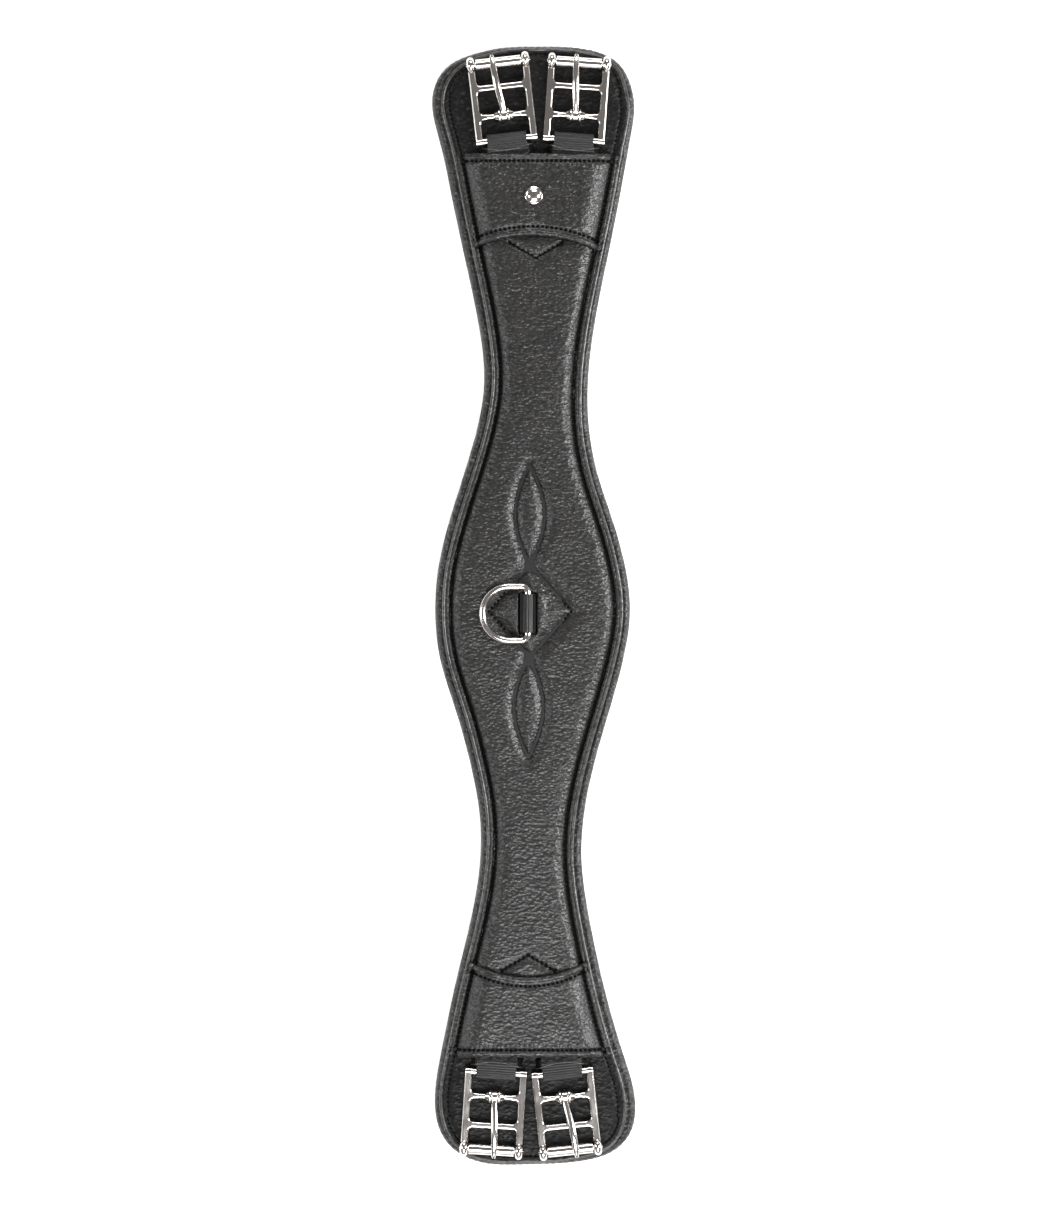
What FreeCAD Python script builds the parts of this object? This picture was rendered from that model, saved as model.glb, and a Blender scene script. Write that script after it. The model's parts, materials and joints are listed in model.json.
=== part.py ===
"""A padded leather dressage girth with four roller buckles and a D-ring, as a parametric assembly.

Frame: millimetres. The girth lies flat with its lining on z = 0 and its outer face up. Y runs along the
girth, from the lower end to the upper end, and X runs across it. The origin is under the middle.
"""
import FreeCAD
import Part

import math
import os

import Sketcher

App = FreeCAD
V = App.Vector

# ---------------------------------------------------------------- driving dimensions
DIMENSIONS = {
    # padded body
    "overall_length": 676.0,
    "end_width": 123.0,
    "lining_thickness": 9.0,
    "leather_thickness": 1.4,
    "rim_radius": 4.0,
    "welt_inset": 4.0,
    "welt_end_inset": 1.2,
    "welt_width": 2.4,
    "welt_height": 1.6,
    "face_turn": -0.25,
    "stitch_margin": 4.1,
    "face_height": 5.6,
    "face_rounding": 3.0,
    "face_half_length": 234.0,
    "inlay_thickness": 0.9,
    "core_width": 34.0,
    "core_thickness": 3.5,
    "core_half_length": 262.0,
    # end covers
    "cover_mouth_at": 272.5,
    "cover_top": 19.2,
    "bead_radius": 1.9,
    "badge_radius": 5.5,
    "badge_thickness": 1.5,
    "badge_pin_radius": 1.0,
    "badge_at": 247.0,
    # middle
    "diamond_width": 50.0,
    "diamond_length": 55.6,
    "slit_width": 10.6,
    "slit_length": 25.0,
    "leaf_length": 60.0,
    "leaf_width": 17.6,
    # D-ring and its keeper
    "ring_wire": 4.2,
    "ring_bar_length": 24.6,
    "ring_corner": 4.0,
    "ring_depth": 27.3,
    "keeper_width": 23.6,
    "keeper_thickness": 0.8,
    # buckle
    "axis_height": 15.8,
    "frame_width": 37.4,
    "frame_thickness": 3.8,
    "frame_rounding": 1.3,
    "side_bar_width": 4.4,
    "base_bar_radius": 2.1,
    "tongue_bar_at": 14.5,
    "tongue_bar_radius": 1.8,
    "tongue_bar_root": 4.6,
    "corner_radius": 2.4,
    "cross_bar_at": 32.0,
    "cross_bar_width": 3.8,
    "roller_at": 46.5,
    "lug_radius": 5.0,
    "lug_width": 4.9,
    "collar_radius": 4.5,
    "collar_length": 3.2,
    "roller_radius": 3.3,
    "roller_length": 27.2,
    "pin_radius": 1.6,
    "pin_length": 38.6,
    "eye_radius": 3.9,
    "eye_width": 4.4,
    "prong_straight_to": 18.2,
    "running_gap": 0.06,
    # elastic strap
    "elastic_width": 24.0,
    "elastic_ply": 1.7,
    "elastic_length": 42.0,
    "loop_gap": 0.1,
    "pocket_gap": 0.3,
}

# Edge of the lining at stations along the girth: (Y, left X, right X), at the lengths and widths above.
EDGE_STATIONS = [
    (326.5, -51.3, 52.5),
    (316.0, -59.2, 58.2),
    (302.0, -61.5, 60.8),
    (283.0, -57.5, 58.5),
    (240.0, -48.2, 50.7),
    (196.0, -38.6, 41.6),
    (160.0, -31.8, 35.2),
    (131.0, -30.2, 32.6),
    (109.0, -33.8, 33.2),
    (77.0, -43.0, 39.3),
    (44.0, -53.1, 50.1),
    (22.0, -57.9, 55.6),
    (-4.0, -59.6, 58.2),
    (-32.0, -56.7, 54.3),
    (-64.0, -47.0, 45.6),
    (-97.0, -38.0, 36.2),
    (-125.0, -32.9, 30.6),
    (-151.0, -32.3, 28.8),
    (-184.0, -36.8, 32.6),
    (-227.0, -47.0, 41.6),
    (-270.0, -56.0, 53.7),
    (-303.0, -59.8, 61.5),
    (-314.0, -58.0, 60.3),
    (-325.0, -52.3, 54.2),
]
UPPER_END = [(28.0, 337.0), (4.0, 338.0), (-19.0, 337.2), (-37.0, 333.2)]
LOWER_END = [(-36.0, -335.6), (-6.0, -338.0), (31.0, -335.6)]

# Buckles: (name, base bar X, base bar Y, turn about Z in degrees, sideways lean of the tongue in degrees)
BUCKLES = [
    ("upper_left", -16.3, 281.0, 6.5, 5.3),
    ("upper_right", 24.1, 280.8, -4.0, 2.8),
    ("lower_left", -22.7, -281.7, 176.4, 2.6),
    ("lower_right", 17.2, -281.8, 186.0, 5.4),
]

# Inner edge of each end cover, as the left, middle and right of an arc
UPPER_ARC = [(-35.5, 218.0), (1.2, 224.6), (38.0, 216.2)]
LOWER_ARC = [(-41.0, -215.6), (-3.4, -225.8), (34.0, -215.6)]

# Tongue centreline in the buckle's own YZ plane, with the section's width and thickness there
TONGUE = [
    (16.2, 1.6, 3.6, 3.0),
    (21.0, 3.4, 3.8, 2.8),
    (29.0, 5.3, 4.2, 2.8),
    (37.0, 6.2, 4.0, 2.8),
    (43.5, 5.7, 3.7, 2.5),
    (48.0, 4.7, 3.2, 2.0),
    (51.0, 3.3, 1.9, 1.3),
]

doc = App.newDocument("SaddleGirth")
sheet = doc.addObject("Spreadsheet::Sheet", "Dimensions")
for row, (alias, value) in enumerate(DIMENSIONS.items(), start=1):
    sheet.set(f"A{row}", alias)
    sheet.set(f"B{row}", str(value))
    sheet.setAlias(f"B{row}", alias)
doc.recompute()


def dim(alias):
    """The value of one spreadsheet cell."""
    return float(sheet.get(alias))


SCALE_X = dim("end_width") / 123.0
SCALE_Y = dim("overall_length") / 676.0
LINING_TOP = dim("lining_thickness")
FACE_TOP = LINING_TOP + dim("face_height")
INLAY_TOP = FACE_TOP + dim("inlay_thickness")
CORE_TOP = LINING_TOP + dim("core_thickness")
GUARD_TOP = LINING_TOP + dim("welt_height")
AXIS_HEIGHT = dim("axis_height")
RING_AXIS = V(-3.6, -4.8, INLAY_TOP + dim("ring_wire") / 2 + 0.3)
DIAMOND_CENTRE = (-2.4, -3.4)
LEAVES = {"upper_leaf_inlay": (-2.4, 54.6), "lower_leaf_inlay": (-3.2, -61.6)}
sub_parts = []


def finish(obj, label):
    """Gives a sub-part the name its file takes."""
    obj.Label = label
    sub_parts.append(obj)
    return obj


# ---------------------------------------------------------------- PartDesign helpers
def new_body(name):
    return doc.addObject("PartDesign::Body", name)


def origin_plane(body, role):
    return next(f for f in body.Origin.OriginFeatures if f.Role == role)


def new_sketch(body, role, offset=None):
    """A sketch on one of the body's own planes. offset shifts it: axis letter to expression."""
    sketch = body.newObject("Sketcher::SketchObject", body.Name + "_sketch")
    sketch.AttachmentSupport = [(origin_plane(body, role), "")]
    sketch.MapMode = "FlatFace"
    for letter, expression in (offset or {}).items():
        sketch.setExpression(f".AttachmentOffset.Base.{letter}", expression)
    return sketch


def bind(obj, prop, expression):
    obj.setExpression(prop, expression)


def hold_point(sketch, edge, end, x, y):
    """Holds one point of a sketch at expressions x and y from the sketch's origin."""
    for kind, expression in (("DistanceX", x), ("DistanceY", y)):
        index = sketch.addConstraint(Sketcher.Constraint(kind, -1, 1, edge, end, 1.0))
        sketch.setExpression(f"Constraints[{index}]", expression)


def add_polygon(sketch, corners):
    """A closed polygon whose corners are pairs of expressions."""
    count = len(corners)
    start = sketch.GeometryCount
    ring = [V(math.cos(2 * math.pi * i / count), math.sin(2 * math.pi * i / count), 0) for i in range(count)]
    for i in range(count):
        sketch.addGeometry(Part.LineSegment(ring[i], ring[(i + 1) % count]), False)
    for i in range(count):
        following = start + (i + 1) % count
        sketch.addConstraint(Sketcher.Constraint("Coincident", start + i, 2, following, 1))
    for i, (x, y) in enumerate(corners):
        hold_point(sketch, start + i, 1, x, y)


def add_rectangle(sketch, x_low, x_high, y_low, y_high):
    add_polygon(sketch, [(x_low, y_low), (x_high, y_low), (x_high, y_high), (x_low, y_high)])


def add_circle(sketch, x, y, radius):
    index = sketch.addGeometry(Part.Circle(V(0.5, 0.5, 0), V(0, 0, 1), 1.0), False)
    hold_point(sketch, index, 3, x, y)
    held = sketch.addConstraint(Sketcher.Constraint("Radius", index, 1.0))
    sketch.setExpression(f"Constraints[{held}]", radius)


def pad(body, sketch, length):
    """Extrudes a sketch to both sides of its plane."""
    feature = body.newObject("PartDesign::Pad", body.Name + "_pad")
    feature.Profile = sketch
    feature.Midplane = True
    bind(feature, "Length", length)
    doc.recompute()
    return feature


def cut_through(body, sketch, length):
    """Cuts a sketch to both sides of its plane, and makes sure that it cut something."""
    before = body.Shape.Volume
    feature = body.newObject("PartDesign::Pocket", body.Name + "_cut")
    feature.Profile = sketch
    feature.Midplane = True
    bind(feature, "Length", length)
    doc.recompute()
    if body.Shape.Volume > before - 1e-3:
        raise RuntimeError(f"{feature.Name} cut nothing")
    return feature


def revolve(body, sketch):
    feature = body.newObject("PartDesign::Revolution", body.Name + "_turned")
    feature.Profile = sketch
    feature.ReferenceAxis = (sketch, ["H_Axis"])
    feature.Angle = 360.0
    doc.recompute()
    return feature


def round_edges(body, radius, chosen):
    """Rounds the edges of the body's newest feature that chosen() accepts."""
    base = body.Tip
    names = [f"Edge{i}" for i, edge in enumerate(base.Shape.Edges, start=1) if chosen(edge)]
    feature = body.newObject("PartDesign::Fillet", body.Name + "_rounding")
    feature.Base = (base, names)
    bind(feature, "Radius", radius)
    doc.recompute()
    return feature


# ---------------------------------------------------------------- outlines of the padded body
def edge_points(side_inset=0.0, end_inset=0.0, turn=0.0):
    """Points round the lining's edge, drawn in by side_inset at the sides and end_inset at the ends."""
    right = [(x_right, y) for y, _, x_right in reversed(EDGE_STATIONS)]
    left = [(x_left, y) for y, x_left, _ in EDGE_STATIONS]
    ring = [V(x * SCALE_X, y * SCALE_Y, 0) for x, y in right + UPPER_END + left + LOWER_END]
    count = len(ring)
    moved = []
    for i, point in enumerate(ring):
        along = (ring[(i + 1) % count] - ring[i - 1]).normalize()
        inward = V(-along.y, along.x, 0)
        depth = side_inset * abs(inward.x) + end_inset * abs(inward.y)
        moved.append(point + inward * depth)
    turned = App.Rotation(V(0, 0, 1), turn)
    return [turned.multVec(point) for point in moved]


def slab(points, z_low, z_high):
    """A flat solid whose outline is a smooth closed curve through points."""
    curve = Part.BSplineCurve()
    curve.interpolate(Points=points, PeriodicFlag=True)
    face = Part.Face(Part.Wire(curve.toShape()))
    face.translate(V(0, 0, z_low))
    return face.extrude(V(0, 0, z_high - z_low))


def rounded(solid, radius, heights):
    """The slab with the outline edges at the given heights rounded."""
    edges = [e for e in solid.Edges if any(abs(e.BoundBox.ZMin - z) + abs(e.BoundBox.ZMax - z) < 1e-3 for z in heights)]
    return solid.makeFillet(radius, edges)


def face_slab(extra_inset, z_low, z_high):
    """A slab inside the welt: extra_inset is measured from the welt's outer edge."""
    side = dim("welt_inset") + extra_inset
    end = dim("welt_end_inset") + extra_inset
    return slab(edge_points(side, end, dim("face_turn")), z_low, z_high)


def block(x_low, x_high, y_low, y_high, z_low, z_high):
    return Part.makeBox(x_high - x_low, y_high - y_low, z_high - z_low, V(x_low, y_low, z_low))


def band(y_low, y_high):
    """Everything between two stations along the girth."""
    return block(-90, 90, y_low, y_high, -5, 60)


def add_shape(label, shape):
    feature = doc.addObject("Part::Feature", label)
    feature.Shape = shape.removeSplitter()
    return finish(feature, label)


# ---------------------------------------------------------------- padded body
LEATHER = dim("leather_thickness")
MARGIN_INNER = dim("welt_width") + dim("stitch_margin")


def lining_foam_shape():
    """Foam inside the lining, which fills the opening in the lining's top too."""
    inner = slab(edge_points(LEATHER, LEATHER), LEATHER, LINING_TOP - LEATHER)
    inner = rounded(inner, dim("rim_radius") - LEATHER, [LEATHER, LINING_TOP - LEATHER])
    opening = slab(edge_points(14.0, 12.0), LINING_TOP - LEATHER - 1.0, LINING_TOP)
    return inner.fuse(opening).removeSplitter()


def lining_shape():
    whole = slab(edge_points(), 0, LINING_TOP)
    return rounded(whole, dim("rim_radius"), [0, LINING_TOP]).cut(lining_foam_shape())


def core_shape():
    half = dim("core_width") / 2
    return block(-half, half, -dim("core_half_length"), dim("core_half_length"), LINING_TOP, CORE_TOP)


def welt_shape():
    outer = face_slab(0.0, LINING_TOP, GUARD_TOP)
    inner = face_slab(dim("welt_width"), LINING_TOP, GUARD_TOP)
    return rounded(outer, 0.6, [GUARD_TOP]).cut(inner)


def slit_shape():
    """The slit in the middle through which the ring's keeper comes up."""
    half_x = dim("slit_width") / 2
    half_y = dim("slit_length") / 2
    x, y = RING_AXIS.x, RING_AXIS.y
    return block(x - half_x, x + half_x, y - half_y, y + half_y, CORE_TOP, INLAY_TOP + 5)


def face_foam_shape():
    padding = face_slab(MARGIN_INNER + LEATHER, LINING_TOP, FACE_TOP - LEATHER)
    half = dim("face_half_length") - LEATHER
    return padding.common(band(-half, half)).cut(core_shape()).cut(slit_shape())


def face_leather_shape():
    margin = face_slab(dim("welt_width"), LINING_TOP, LINING_TOP + LEATHER)
    raised = rounded(face_slab(MARGIN_INNER, LINING_TOP, FACE_TOP), dim("face_rounding"), [FACE_TOP])
    half = dim("face_half_length")
    skin = margin.fuse(raised).common(band(-half, half))
    return skin.cut(face_foam_shape()).cut(core_shape()).cut(slit_shape())


def guard_shape(end):
    """The leather under the buckles at one end. end is 1 for the upper end and -1 for the lower."""
    sheet_of_leather = face_slab(dim("welt_width"), LINING_TOP, GUARD_TOP)
    near = dim("face_half_length")
    zone = band(near, 400) if end > 0 else band(-400, -near)
    return sheet_of_leather.common(zone).cut(core_shape())


def arc_edge(arc, z):
    points = [V(x, y, z) for x, y in arc]
    return Part.Arc(*points).toShape()


def bead_shape(arc):
    """The rolled edge of a cover: a round cord along an arc."""
    z = INLAY_TOP + dim("bead_radius") + 0.1
    path = Part.Wire(arc_edge(arc, z))
    start = path.Edges[0]
    ring = Part.makeCircle(dim("bead_radius"), start.valueAt(start.FirstParameter), start.tangentAt(start.FirstParameter))
    return path.makePipeShell([Part.Wire(ring)], True, True)


def cover_zone(arc, end):
    """Everything between a cover's arc edge and its straight edge at the buckles."""
    left, middle, right = [V(x, y, 0) for x, y in arc]
    far = V(0, end * dim("cover_mouth_at"), 0)
    reach = 80.0
    edges = [
        Part.Arc(left, middle, right).toShape(),
        Part.makeLine(right, V(reach, right.y, 0)),
        Part.makeLine(V(reach, right.y, 0), V(reach, far.y, 0)),
        Part.makeLine(V(reach, far.y, 0), V(-reach, far.y, 0)),
        Part.makeLine(V(-reach, far.y, 0), V(-reach, left.y, 0)),
        Part.makeLine(V(-reach, left.y, 0), left),
    ]
    return Part.Face(Part.Wire(edges)).extrude(V(0, 0, 60))


def buckle_placement(x, y, turn):
    return App.Placement(V(x, y, AXIS_HEIGHT), App.Rotation(V(0, 0, 1), turn))


def pocket_shape(x, y, turn):
    """The sleeve in a cover in which one elastic strap slides."""
    half = dim("elastic_width") / 2 + dim("pocket_gap") + 0.2
    rise = dim("elastic_ply") + dim("pocket_gap")
    length = dim("elastic_length") + 1.0
    sleeve = block(-half, half, -length, 12.0, -rise, rise)
    sleeve.Placement = buckle_placement(x, y, turn)
    return sleeve


def point_shape(arc, end):
    """The pointed inlay that shows past a cover's arc edge."""
    x, y = arc[1]
    depth = 13.0 * end
    tuck = 4.0 * end
    half = 17.5
    corners = [V(x - half, y - 3.0 * end, 0), V(x - 0.3, y - depth - 2.0 * end, 0), V(x + half, y - 3.0 * end, 0)]
    corners += [V(x + half, y + tuck, 0), V(x - half, y + tuck, 0)]
    plate = Part.Face(Part.makePolygon(corners + [corners[0]])).extrude(V(0, 0, dim("inlay_thickness")))
    plate.translate(V(0, 0, FACE_TOP))
    return plate


def cover_shape(arc, end):
    """A padded leather cover over the inner ends of two elastics, with a sleeve for each."""
    flange = face_slab(dim("welt_width"), GUARD_TOP, GUARD_TOP + LEATHER)
    raised = rounded(face_slab(MARGIN_INNER, GUARD_TOP, dim("cover_top")), dim("face_rounding"), [dim("cover_top")])
    cover = flange.fuse(raised).common(cover_zone(arc, end))
    cover = cover.cut(face_leather.Shape).cut(face_foam.Shape).cut(core_webbing.Shape)
    cover = cover.cut(bead_shape(arc)).cut(point_shape(arc, end))
    for _, x, y, turn, _ in BUCKLES:
        if y * end > 0:
            cover = cover.cut(pocket_shape(x, y, turn))
    return max(cover.Solids, key=lambda solid: solid.Volume)


add_shape("lining_foam", lining_foam_shape())
add_shape("lining_leather", lining_shape())
core_webbing = add_shape("core_webbing", core_shape())
add_shape("edge_welt", welt_shape())
face_foam = add_shape("face_foam", face_foam_shape())
face_leather = add_shape("face_leather", face_leather_shape())
for name, arc, end in (("upper", UPPER_ARC, 1), ("lower", LOWER_ARC, -1)):
    add_shape(f"{name}_buckle_guard", guard_shape(end))
    add_shape(f"{name}_cover", cover_shape(arc, end))
    add_shape(f"{name}_cover_bead", bead_shape(arc).common(face_slab(MARGIN_INNER, 0, 60)))
    add_shape(f"{name}_point_inlay", point_shape(arc, end))


# ---------------------------------------------------------------- inlays of the middle
def make_diamond():
    body = new_body("diamond")
    outline = new_sketch(body, "XY_Plane")
    half_x = "Dimensions.diamond_width / 2"
    half_y = "Dimensions.diamond_length / 2"
    add_polygon(outline, [("0", half_y), ("-" + half_x, "0"), ("0", "-" + half_y), (half_x, "0")])
    pad(body, outline, "Dimensions.inlay_thickness")
    slit = new_sketch(body, "XY_Plane")
    shift = (RING_AXIS.x - DIAMOND_CENTRE[0], RING_AXIS.y - DIAMOND_CENTRE[1])
    add_rectangle(
        slit,
        f"{shift[0]} - Dimensions.slit_width / 2",
        f"{shift[0]} + Dimensions.slit_width / 2",
        f"{shift[1]} - Dimensions.slit_length / 2",
        f"{shift[1]} + Dimensions.slit_length / 2",
    )
    cut_through(body, slit, "Dimensions.inlay_thickness * 4")
    body.Placement.Base = V(*DIAMOND_CENTRE, FACE_TOP + dim("inlay_thickness") / 2)
    finish(body, "centre_diamond_inlay")


def make_leaf(label, centre):
    """A leaf outline: what two equal discs share."""
    length, width = "Dimensions.leaf_length", "Dimensions.leaf_width"
    radius = f"({length} * {length} + {width} * {width}) / (4 * {width})"
    discs = []
    for side in (-1, 1):
        disc = doc.addObject("Part::Cylinder", f"{label}_disc")
        bind(disc, "Radius", radius)
        bind(disc, "Height", "Dimensions.inlay_thickness")
        bind(disc, "Placement.Base.x", f"{side} * ({radius} - {width} / 2)")
        discs.append(disc)
    leaf = doc.addObject("Part::MultiCommon", label)
    leaf.Shapes = discs
    doc.recompute()
    leaf.Placement.Base = V(*centre, FACE_TOP)
    finish(leaf, label)


make_diamond()
for leaf_label, leaf_centre in LEAVES.items():
    make_leaf(leaf_label, leaf_centre)


# ---------------------------------------------------------------- D-ring and keeper
def make_ring():
    """A round wire bent to a D. Its straight bar lies along Y through the ring's axis."""
    half_bar = dim("ring_bar_length") / 2
    corner = dim("ring_corner")
    half_height = half_bar + corner
    centre_x = half_height - dim("ring_depth")
    lean = math.sqrt(0.5) * corner
    corner_up = V(-corner + lean, half_bar + lean, 0)
    corner_down = V(-corner + lean, -half_bar - lean, 0)
    edges = [
        Part.makeLine(V(0, -half_bar, 0), V(0, half_bar, 0)),
        Part.Arc(V(0, half_bar, 0), corner_up, V(-corner, half_height, 0)).toShape(),
        Part.makeLine(V(-corner, half_height, 0), V(centre_x, half_height, 0)),
        Part.Arc(V(centre_x, half_height, 0), V(-dim("ring_depth"), 0, 0), V(centre_x, -half_height, 0)).toShape(),
        Part.makeLine(V(centre_x, -half_height, 0), V(-corner, -half_height, 0)),
        Part.Arc(V(-corner, -half_height, 0), corner_down, V(0, -half_bar, 0)).toShape(),
    ]
    section = Part.Wire(Part.makeCircle(dim("ring_wire") / 2, V(0, -half_bar, 0), V(0, 1, 0)))
    ring = doc.addObject("Part::Feature", "d_ring")
    ring.Shape = Part.Wire(edges).makePipeShell([section], True, True)
    ring.Placement.Base = RING_AXIS
    finish(ring, "d_ring")


def make_keeper():
    """The webbing loop that comes up through the slit and holds the ring's bar."""
    body = new_body("keeper")
    outer = "Dimensions.ring_wire / 2 + Dimensions.loop_gap + Dimensions.keeper_thickness"
    inner = "Dimensions.ring_wire / 2 + Dimensions.loop_gap"
    foot = str(CORE_TOP - RING_AXIS.z)
    round_top = new_sketch(body, "XZ_Plane")
    add_circle(round_top, "0", "0", outer)
    pad(body, round_top, "Dimensions.keeper_width")
    legs = new_sketch(body, "XZ_Plane")
    add_rectangle(legs, f"-({outer})", outer, foot, "0")
    pad(body, legs, "Dimensions.keeper_width")
    bore = new_sketch(body, "XZ_Plane")
    add_circle(bore, "0", "0", inner)
    cut_through(body, bore, "Dimensions.keeper_width * 2")
    gap = new_sketch(body, "XZ_Plane")
    add_rectangle(gap, f"-({inner})", inner, f"{foot} - 1", "0")
    cut_through(body, gap, "Dimensions.keeper_width * 2")
    body.Placement.Base = RING_AXIS
    finish(body, "d_ring_keeper")


make_ring()
make_keeper()


# ---------------------------------------------------------------- badge
def make_badge():
    """A plain domed stud on the upper cover, with its pin."""
    body = new_body("badge")
    outline = new_sketch(body, "XY_Plane")
    add_circle(outline, "0", "0", "Dimensions.badge_radius")
    pad(body, outline, "Dimensions.badge_thickness")
    round_edges(body, "Dimensions.badge_thickness * 0.6", lambda edge: edge.BoundBox.ZMin > 0)
    body.Placement.Base = V(0, dim("badge_at"), dim("cover_top") + dim("badge_thickness") / 2)
    finish(body, "badge_stud")
    pin = doc.addObject("Part::Cylinder", "badge_pin")
    bind(pin, "Radius", "Dimensions.badge_pin_radius")
    bind(pin, "Height", "0.9")
    pin.Placement.Base = V(0, dim("badge_at"), dim("cover_top") - 0.9)
    finish(pin, "badge_pin")
    return pin


badge_pin = make_badge()
upper_cover = next(obj for obj in sub_parts if obj.Label == "upper_cover")
doc.recompute()
upper_cover.Shape = upper_cover.Shape.cut(badge_pin.Shape)


# ---------------------------------------------------------------- buckles
def frame_window(side, low, high):
    """Corners of a window's side from low to high, as expressions. side is "-" or nothing."""
    half = f"{side}(Dimensions.frame_width / 2 - Dimensions.side_bar_width)"
    return [(half, low), (half, high)]


def add_plate(body):
    """The flat ladder with its windows, and short roots where the tongue bar leaves the sides."""
    half_width = "Dimensions.frame_width / 2"
    plate = new_sketch(body, "XY_Plane")
    add_rectangle(plate, "-" + half_width, half_width, "-Dimensions.base_bar_radius", "Dimensions.roller_at")
    pad(body, plate, "Dimensions.frame_thickness")

    below = "-Dimensions.base_bar_radius * 2"
    root_low = "Dimensions.tongue_bar_at - Dimensions.tongue_bar_radius - 0.1"
    root_high = "Dimensions.tongue_bar_at + Dimensions.tongue_bar_radius + 0.1"
    cross_low = "Dimensions.cross_bar_at - Dimensions.cross_bar_width / 2"
    cross_high = "Dimensions.cross_bar_at + Dimensions.cross_bar_width / 2"
    root_end = "(Dimensions.frame_width / 2 - Dimensions.side_bar_width - Dimensions.tongue_bar_root)"
    left = frame_window("-", below, root_low) + [("-" + root_end, root_low), ("-" + root_end, root_high)]
    left += frame_window("-", root_high, cross_low)
    right = frame_window("", below, root_low) + [(root_end, root_low), (root_end, root_high)]
    right += frame_window("", root_high, cross_low)
    windows = new_sketch(body, "XY_Plane")
    add_polygon(windows, left[::-1] + right)
    past_roller = "Dimensions.roller_at + 3"
    add_polygon(windows, frame_window("-", past_roller, cross_high) + frame_window("", cross_high, past_roller))
    cut_through(body, windows, "Dimensions.frame_thickness * 2")

    window_half = dim("frame_width") / 2 - dim("side_bar_width")

    def window_corner(edge):
        middle = edge.CenterOfMass
        upright = edge.BoundBox.ZLength > dim("frame_thickness") - 1e-3
        return upright and abs(abs(middle.x) - window_half) < 1e-3 and 0 < middle.y < dim("roller_at") - 1

    round_edges(body, "Dimensions.corner_radius", window_corner)
    half_thickness = dim("frame_thickness") / 2
    round_edges(body, "Dimensions.frame_rounding", lambda e: abs(abs(e.CenterOfMass.z) - half_thickness) < 1e-3)


def add_tongue_bar(body):
    """The round bar that the tongue turns on, with a flared collar on each side of the tongue's eye."""
    bar = new_sketch(body, "XY_Plane", {"y": "Dimensions.tongue_bar_at"})
    radius = "Dimensions.tongue_bar_radius"
    end = "(Dimensions.frame_width / 2 - Dimensions.side_bar_width + 1.5)"
    near = "(Dimensions.eye_width / 2 + 0.2)"
    far = f"({near} + Dimensions.collar_length)"
    flare = [(near, radius), (near, "Dimensions.collar_radius"), (f"{near} + 0.7", "Dimensions.collar_radius")]
    flare += [(f"{near} + 1.1", "Dimensions.collar_radius - 0.8"), (far, f"{radius} + 0.7")]
    half_profile = flare + [(f"{far} + 0.4", radius), (end, radius), (end, "0")]
    mirrored = [(f"-({x})", y) for x, y in reversed(half_profile)]
    add_polygon(bar, half_profile + mirrored)
    revolve(body, bar)


def add_lug(body, side):
    """A boss with a full round rim at the end of one side bar. side is 1 or -1."""
    place = f"{side} * (Dimensions.frame_width / 2 + 0.3 - Dimensions.lug_width / 2)"
    rim = body.newObject("PartDesign::AdditiveTorus", body.Name + "_rim")
    rim.AttachmentSupport = [(origin_plane(body, "YZ_Plane"), "")]
    rim.MapMode = "FlatFace"
    bind(rim, "Radius2", "Dimensions.lug_width / 2")
    bind(rim, "Radius1", "Dimensions.lug_radius - Dimensions.lug_width / 2")
    bind(rim, ".AttachmentOffset.Base.x", "Dimensions.roller_at")
    bind(rim, ".AttachmentOffset.Base.z", place)
    doc.recompute()
    centre = new_sketch(body, "YZ_Plane", {"z": place})
    add_circle(centre, "Dimensions.roller_at", "0", "Dimensions.lug_radius - Dimensions.lug_width / 2 + 0.4")
    pad(body, centre, "Dimensions.lug_width - 0.1")


def make_frame(name, placement):
    """The cast ladder: side bars, cross bar, round base bar, tongue bar with collars, and lugs."""
    body = new_body(f"{name}_frame")
    add_plate(body)
    base = new_sketch(body, "YZ_Plane")
    add_circle(base, "0", "0", "Dimensions.base_bar_radius")
    pad(body, base, "Dimensions.frame_width - 0.6")
    add_tongue_bar(body)
    for side in (-1, 1):
        add_lug(body, side)
    holes = new_sketch(body, "YZ_Plane")
    add_circle(holes, "Dimensions.roller_at", "0", "Dimensions.pin_radius")
    cut_through(body, holes, "Dimensions.frame_width * 2")
    body.Placement = placement
    finish(body, f"{name}_frame")


def make_roller(name, placement):
    body = new_body(f"{name}_roller")
    ring = new_sketch(body, "YZ_Plane")
    add_circle(ring, "Dimensions.roller_at", "0", "Dimensions.roller_radius")
    add_circle(ring, "Dimensions.roller_at", "0", "Dimensions.pin_radius + Dimensions.running_gap")
    pad(body, ring, "Dimensions.roller_length")
    body.Placement = placement
    finish(body, f"{name}_roller")


def make_roller_pin(name, placement):
    body = new_body(f"{name}_roller_pin")
    section = new_sketch(body, "YZ_Plane")
    add_circle(section, "Dimensions.roller_at", "0", "Dimensions.pin_radius")
    pad(body, section, "Dimensions.pin_length")
    round_edges(body, "Dimensions.pin_radius * 0.3", lambda edge: abs(edge.BoundBox.XLength) < 1e-3)
    body.Placement = placement
    finish(body, f"{name}_roller_pin")


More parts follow.
